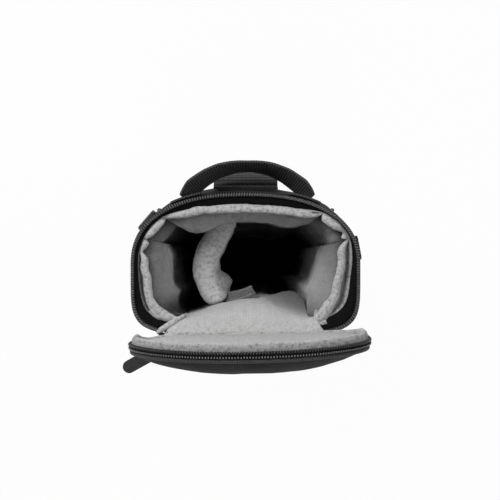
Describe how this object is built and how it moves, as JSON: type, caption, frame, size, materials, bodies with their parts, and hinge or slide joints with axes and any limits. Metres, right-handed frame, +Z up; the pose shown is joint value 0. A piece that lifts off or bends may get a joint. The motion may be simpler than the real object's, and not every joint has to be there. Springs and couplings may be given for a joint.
{
  "type": "compact camera case",
  "caption": "Padded soft case for a compact camera, standing open, with a zipped hinged lid, a curved divider, a carry handle, a belt loop and strap tabs.",
  "frame": {"origin": "middle of the flat underside of the base, where the case stands", "axes": "+Z up, +X to the right seen from above with the hinge at the bottom, +Y from the lid's hinge to the back with the belt loop"},
  "size_m": [0.1406, 0.1252, 0.2109],
  "materials": {
    "outer_fabric": "woven ripstop, matt black",
    "foam": "closed-cell foam filling",
    "brushed_lining": "brushed light grey",
    "webbing": "ribbed black webbing",
    "zip_coil": "black nylon coil",
    "zip_tape": "woven black tape",
    "dark_metal": "dark coated metal",
    "rubber_pull": "moulded soft rubber, plain"
  },
  "bodies": {
    "case": {"base_panel": "outer_fabric", "base_piping": "webbing", "base_foam": "foam", "floor_lining": "brushed_lining", "front_panel": "outer_fabric", "right_panel": "outer_fabric", "back_panel": "outer_fabric", "left_panel": "outer_fabric", "front_right_piping": "webbing", "back_right_piping": "webbing", "back_left_piping": "webbing", "front_left_piping": "webbing", "front_foam": "foam", "front_lining": "brushed_lining", "right_foam": "foam", "right_lining": "brushed_lining", "back_right_corner_foam": "foam", "back_right_corner_lining": "brushed_lining", "back_foam": "foam", "back_lining": "brushed_lining", "back_left_corner_foam": "foam", "back_left_corner_lining": "brushed_lining", "left_foam": "foam", "left_lining": "brushed_lining", "body_zip_teeth": "zip_coil", "body_zip_tape": "zip_tape", "hinge_fold": "outer_fabric", "handle_anchor_left": "webbing", "handle_anchor_right": "webbing", "belt_loop": "webbing", "strap_tab_right": "webbing", "strap_tab_left": "webbing", "zip_chain_end": "zip_coil", "zip_end_tape": "zip_tape"},
    "lid": {"lid_gusset": "outer_fabric", "lid_piping": "webbing", "lid_top_panel": "outer_fabric", "lid_foam": "foam", "lid_lining": "brushed_lining", "lid_zip_teeth": "zip_coil", "lid_zip_tape": "zip_tape"},
    "divider": {"divider_pad": "brushed_lining", "divider_tab_front": "webbing", "divider_tab_back": "webbing"},
    "handle": {"handle_strap": "webbing"},
    "slider": {"zip_slider": "dark_metal"},
    "pull": {"zip_pull": "rubber_pull"}
  },
  "joints": [
    {"name": "lid_hinge", "type": "hinge", "parent": "case", "child": "lid", "pos_m": [0, -0.0394, 0.13], "axis": [1, 0, 0], "range_deg": [-92, 22]},
    {"name": "divider_slide", "type": "slide", "parent": "case", "child": "divider", "axis": [1, 0, 0], "range_m": [-0.012, 0]},
    {"name": "handle_swing", "type": "hinge", "parent": "case", "child": "handle", "pos_m": [0, 0.04108, 0.118], "axis": [1, 0, 0], "range_deg": [-15, 50]},
    {"name": "zip_slider_travel", "type": "slide", "parent": "case", "child": "slider", "axis": [-0.99, 0.1414, 0], "range_m": [0, 0.005]},
    {"name": "zip_pull_swing", "type": "hinge", "parent": "slider", "child": "pull", "pos_m": [-0.04747, -0.0479, 0.1238], "axis": [0, 0, 1], "range_deg": [-30, 40]}
  ]
}
